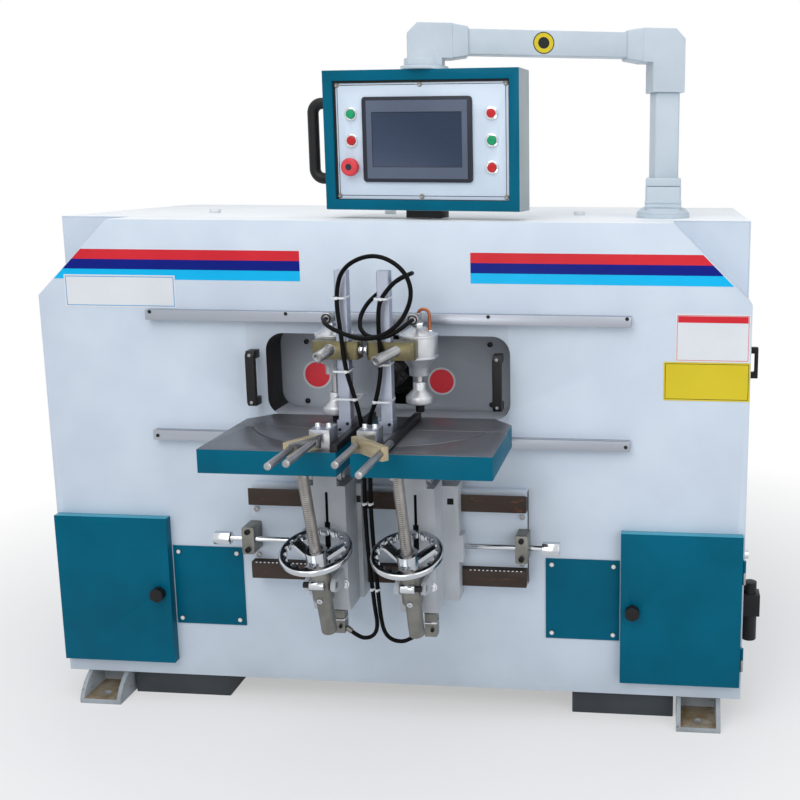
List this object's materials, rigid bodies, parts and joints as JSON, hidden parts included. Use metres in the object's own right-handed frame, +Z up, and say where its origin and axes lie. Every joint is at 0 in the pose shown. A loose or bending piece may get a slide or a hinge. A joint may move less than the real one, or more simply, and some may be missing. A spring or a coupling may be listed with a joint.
{
  "type": "cnc tenoning machine",
  "caption": "Floor-standing tenon and dovetail cutting machine with twin tilting tables, air clamps, sliding guards, a boxed cabinet and a swivelling control panel.",
  "frame": {"origin": "on the floor at the centre of the four anchor bolts", "axes": "+Z up, +X to the operator's right, the operator stands at -Y"},
  "size_m": [1.6475, 1.427, 1.566],
  "materials": {
    "cabinet_paint": "satin",
    "base_paint": "satin",
    "foot_paint": "satin, worn",
    "teal_paint": "satin",
    "grey_paint": "satin",
    "boom_paint": "gloss",
    "ways_steel": "oiled",
    "table_iron": "ground",
    "machined_steel": "turned",
    "chrome": "polished",
    "aluminium": "anodised",
    "bracket_steel": "yellow passivated",
    "black_steel": "blackened",
    "black_plastic": "moulded",
    "clear_pane": "clear",
    "screen": "glossy",
    "red_plastic": "glossy",
    "green_plastic": "glossy",
    "hose_rubber": "satin"
  },
  "bodies": {
    "cabinet": {"base_frame": "base_paint", "anchor_feet": "foot_paint", "rear_cabinet": "cabinet_paint", "front_housing": "cabinet_paint", "bulkhead": "grey_paint", "slide_ways": "ways_steel", "bearing_blocks": "machined_steel", "guard_rails": "aluminium", "cover_plates": "teal_paint", "fasteners": "machined_steel", "door_hinges": "machined_steel", "boom_base": "boom_paint", "air_unit": "black_plastic", "rear_ports": "machined_steel"},
    "cross_slide": {"cross_slide": "grey_paint"},
    "spindle_head": {"spindle_head": "grey_paint"},
    "cutter": {"cutter": "machined_steel"},
    "boom": {"boom_tubes": "boom_paint", "boom_castings": "boom_paint"},
    "panel": {"panel_case": "teal_paint", "panel_face": "aluminium", "touch_screen": "screen", "panel_handle": "black_plastic"},
    "start_button": {"start_button": "green_plastic"},
    "stop_button": {"stop_button": "red_plastic"},
    "emergency_stop": {"emergency_stop": "red_plastic"},
    "light_button": {"light_button": "green_plastic"},
    "reset_button": {"reset_button": "red_plastic"},
    "door_left": {"door_left": "teal_paint"},
    "door_knob_left": {"door_knob_left": "black_plastic"},
    "guard_pane_left": {"guard_pane_left": "clear_pane"},
    "carriage_left": {"carriage_left": "grey_paint"},
    "feed_screw_left": {"feed_screw_left": "machined_steel"},
    "trunnion_left": {"trunnion_left": "machined_steel"},
    "strut_left": {"strut_left": "machined_steel"},
    "handwheel_left": {"handwheel_left": "chrome"},
    "clamp_foot_left": {"clamp_foot_left": "machined_steel"},
    "stop_rod_left": {"stop_rod_left": "chrome"},
    "table_left": {"table_left": "table_iron", "fence_left": "black_steel", "clamp_column_left": "chrome", "clamp_bracket_left": "bracket_steel", "stop_block_left": "machined_steel", "air_hose_left": "hose_rubber"},
    "door_right": {"door_right": "teal_paint"},
    "door_knob_right": {"door_knob_right": "black_plastic"},
    "guard_pane_right": {"guard_pane_right": "clear_pane"},
    "carriage_right": {"carriage_right": "grey_paint"},
    "feed_screw_right": {"feed_screw_right": "machined_steel"},
    "trunnion_right": {"trunnion_right": "machined_steel"},
    "strut_right": {"strut_right": "machined_steel"},
    "handwheel_right": {"handwheel_right": "chrome"},
    "clamp_foot_right": {"clamp_foot_right": "machined_steel"},
    "stop_rod_right": {"stop_rod_right": "chrome"},
    "table_right": {"table_right": "table_iron", "fence_right": "black_steel", "clamp_column_right": "chrome", "clamp_bracket_right": "bracket_steel", "stop_block_right": "machined_steel", "air_hose_right": "hose_rubber"}
  },
  "joints": [
    {"name": "cross_travel", "type": "slide", "parent": "cabinet", "child": "cross_slide", "axis": [1, 0, 0], "range_m": [-0.19, 0.19]},
    {"name": "lift_travel", "type": "slide", "parent": "cross_slide", "child": "spindle_head", "axis": [0, 0, 1], "range_m": [-0.04, 0.04]},
    {"name": "cutter_spin", "type": "hinge", "parent": "spindle_head", "child": "cutter", "pos_m": [0, -0.4, 0.7975], "axis": [0, 1, 0], "continuous": true},
    {"name": "boom_swivel", "type": "hinge", "parent": "cabinet", "child": "boom", "pos_m": [0.604, -0.156, 1.2], "axis": [0, 0, 1], "range_deg": [-40, 60]},
    {"name": "panel_swivel", "type": "hinge", "parent": "boom", "child": "panel", "pos_m": [0.075, -0.294, 1.48], "axis": [0, 0, 1], "range_deg": [-70, 70]},
    {"name": "start_button_press", "type": "slide", "parent": "panel", "child": "start_button", "axis": [0.1392, 0.9903, 0], "range_m": [0, 0.004], "stiffness_N_per_m": 500, "springref_m": -0.002},
    {"name": "stop_button_press", "type": "slide", "parent": "panel", "child": "stop_button", "axis": [0.1392, 0.9903, 0], "range_m": [0, 0.004], "stiffness_N_per_m": 500, "springref_m": -0.002},
    {"name": "emergency_stop_press", "type": "slide", "parent": "panel", "child": "emergency_stop", "axis": [0.1392, 0.9903, 0], "range_m": [0, 0.004], "stiffness_N_per_m": 500, "springref_m": -0.002},
    {"name": "light_button_press", "type": "slide", "parent": "panel", "child": "light_button", "axis": [0.1392, 0.9903, 0], "range_m": [0, 0.004], "stiffness_N_per_m": 500, "springref_m": -0.002},
    {"name": "reset_button_press", "type": "slide", "parent": "panel", "child": "reset_button", "axis": [0.1392, 0.9903, 0], "range_m": [0, 0.004], "stiffness_N_per_m": 500, "springref_m": -0.002},
    {"name": "door_swing_left", "type": "hinge", "parent": "cabinet", "child": "door_left", "pos_m": [-0.7995, -0.4045, 0.279], "axis": [0, 0, -1], "range_deg": [0, 110]},
    {"name": "door_latch_left", "type": "hinge", "parent": "door_left", "child": "door_knob_left", "pos_m": [-0.552, -0.4, 0.275], "axis": [0, -1, 0], "range_deg": [0, 90]},
    {"name": "guard_slide_left", "type": "slide", "parent": "cabinet", "child": "guard_pane_left", "axis": [-1, 0, 0], "range_m": [0, 0.22]},
    {"name": "carriage_feed_left", "type": "slide", "parent": "cabinet", "child": "carriage_left", "axis": [-1, 0, 0], "range_m": [0, 0.11]},
    {"name": "feed_screw_turn_left", "type": "hinge", "parent": "cabinet", "child": "feed_screw_left", "pos_m": [-0.3, -0.46, 0.431], "axis": [1, 0, 0], "range_deg": [0, 4039.2]},
    {"name": "table_tilt_left", "type": "hinge", "parent": "carriage_left", "child": "table_left", "pos_m": [-0.096, -0.55, 0.617], "axis": [1, 0, 0], "range_deg": [-8, 15], "deforming": ["air_hose_left"]},
    {"name": "trunnion_turn_left", "type": "hinge", "parent": "carriage_left", "child": "trunnion_left", "pos_m": [-0.096, -0.612, 0.393], "axis": [1, 0, 0], "range_deg": [-2.92, 5.48]},
    {"name": "strut_slide_left", "type": "slide", "parent": "trunnion_left", "child": "strut_left", "axis": [0, -0.3099, 0.9508], "range_m": [-0.03552, 0.01894]},
    {"name": "handwheel_turn_left", "type": "hinge", "parent": "trunnion_left", "child": "handwheel_left", "pos_m": [-0.096, -0.612, 0.393], "axis": [0, -0.3099, 0.9508], "range_deg": [-3196.41, 1704.75]},
    {"name": "clamp_stroke_left", "type": "slide", "parent": "table_left", "child": "clamp_foot_left", "axis": [0, 0, 1], "range_m": [0, 0.026], "stiffness_N_per_m": 1500, "springref_m": -0.015},
    {"name": "stop_slide_left", "type": "slide", "parent": "table_left", "child": "stop_rod_left", "axis": [0, 1, 0], "range_m": [-0.04, 0.04]},
    {"name": "door_swing_right", "type": "hinge", "parent": "cabinet", "child": "door_right", "pos_m": [0.7995, -0.4045, 0.279], "axis": [0, 0, 1], "range_deg": [0, 110]},
    {"name": "door_latch_right", "type": "hinge", "parent": "door_right", "child": "door_knob_right", "pos_m": [0.552, -0.4, 0.275], "axis": [0, 1, 0], "range_deg": [0, 90]},
    {"name": "guard_slide_right", "type": "slide", "parent": "cabinet", "child": "guard_pane_right", "axis": [1, 0, 0], "range_m": [0, 0.265]},
    {"name": "carriage_feed_right", "type": "slide", "parent": "cabinet", "child": "carriage_right", "axis": [1, 0, 0], "range_m": [0, 0.11]},
    {"name": "feed_screw_turn_right", "type": "hinge", "parent": "cabinet", "child": "feed_screw_right", "pos_m": [0.3, -0.46, 0.431], "axis": [1, 0, 0], "range_deg": [0, 4039.2]},
    {"name": "table_tilt_right", "type": "hinge", "parent": "carriage_right", "child": "table_right", "pos_m": [0.096, -0.55, 0.617], "axis": [1, 0, 0], "range_deg": [-8, 15], "deforming": ["air_hose_right"]},
    {"name": "trunnion_turn_right", "type": "hinge", "parent": "carriage_right", "child": "trunnion_right", "pos_m": [0.096, -0.612, 0.393], "axis": [1, 0, 0], "range_deg": [-2.92, 5.48]},
    {"name": "strut_slide_right", "type": "slide", "parent": "trunnion_right", "child": "strut_right", "axis": [0, -0.3099, 0.9508], "range_m": [-0.03552, 0.01894]},
    {"name": "handwheel_turn_right", "type": "hinge", "parent": "trunnion_right", "child": "handwheel_right", "pos_m": [0.096, -0.612, 0.393], "axis": [0, -0.3099, 0.9508], "range_deg": [-3196.41, 1704.75]},
    {"name": "clamp_stroke_right", "type": "slide", "parent": "table_right", "child": "clamp_foot_right", "axis": [0, 0, -1], "range_m": [0, 0.026], "stiffness_N_per_m": 1500, "springref_m": -0.015},
    {"name": "stop_slide_right", "type": "slide", "parent": "table_right", "child": "stop_rod_right", "axis": [0, 1, 0], "range_m": [-0.04, 0.04]}
  ],
  "couplings": [
    {"joint": "feed_screw_turn_left", "follows": "carriage_feed_left", "rad_per_m": 628.32},
    {"joint": "trunnion_turn_left", "follows": "table_tilt_left", "ratio": 0.358},
    {"joint": "strut_slide_left", "follows": "table_tilt_left", "m_per_rad": -0.133},
    {"joint": "handwheel_turn_left", "follows": "table_tilt_left", "ratio": -208.92},
    {"joint": "feed_screw_turn_right", "follows": "carriage_feed_right", "rad_per_m": 628.32},
    {"joint": "trunnion_turn_right", "follows": "table_tilt_right", "ratio": 0.358},
    {"joint": "strut_slide_right", "follows": "table_tilt_right", "m_per_rad": -0.133},
    {"joint": "handwheel_turn_right", "follows": "table_tilt_right", "ratio": -208.92}
  ]
}
